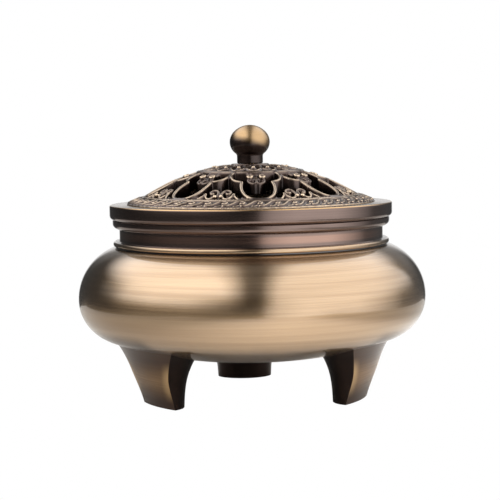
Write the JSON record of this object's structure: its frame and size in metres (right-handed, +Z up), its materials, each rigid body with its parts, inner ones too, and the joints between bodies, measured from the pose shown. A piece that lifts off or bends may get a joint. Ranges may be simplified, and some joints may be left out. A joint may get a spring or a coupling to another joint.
{
  "type": "incense burner",
  "caption": "Squat round incense burner on tripod feet, with a brushed belly, a ringed neck, a pierced domed lid with a ball knob, and a pad and coil stand inside.",
  "frame": {"origin": "on the floor under the bowl's axis", "axes": "+Z up along the bowl's axis, -Y towards the front between the two front feet, +X to the viewer's right"},
  "size_m": [0.11, 0.11, 0.0858],
  "materials": {
    "brushed_brass": "brushed round the axis, aged and lacquered",
    "foot_bronze": "aged, rubbed bright on the edges",
    "dark_bronze": "dark aged, satin",
    "cast_openwork": "dark recesses with rubbed ridges",
    "knob_brass": "brushed round the axis",
    "screw_brass": "plain turned",
    "pad_fibre": "pressed mineral fibre",
    "stand_brass": "plain turned"
  },
  "bodies": {
    "bowl": {"bowl": "brushed_brass", "foot_left": "foot_bronze", "foot_right": "foot_bronze", "foot_rear": "foot_bronze", "foot_screw_left": "screw_brass", "foot_screw_right": "screw_brass", "foot_screw_rear": "screw_brass"},
    "knob": {"knob": "knob_brass", "knob_washer": "screw_brass", "knob_screw": "screw_brass"},
    "lid": {"lid_rim": "dark_bronze", "lid_dome": "cast_openwork"},
    "pad": {"fire_pad": "pad_fibre"},
    "stand": {"stand_base": "stand_brass", "stand_spike": "stand_brass"}
  },
  "joints": [
    {"name": "lid_lift", "type": "slide", "parent": "bowl", "child": "knob", "axis": [0, 0, 1], "range_m": [0, 0.09]},
    {"name": "lid_turn", "type": "hinge", "parent": "knob", "child": "lid", "pos_m": [0, 0, 0.06], "axis": [0, 0, 1], "continuous": true},
    {"name": "pad_lift", "type": "slide", "parent": "bowl", "child": "pad", "axis": [0, 0, 1], "range_m": [0, 0.008]},
    {"name": "stand_lift", "type": "slide", "parent": "pad", "child": "stand", "axis": [0, 0, 1], "range_m": [0, 0.018]}
  ]
}
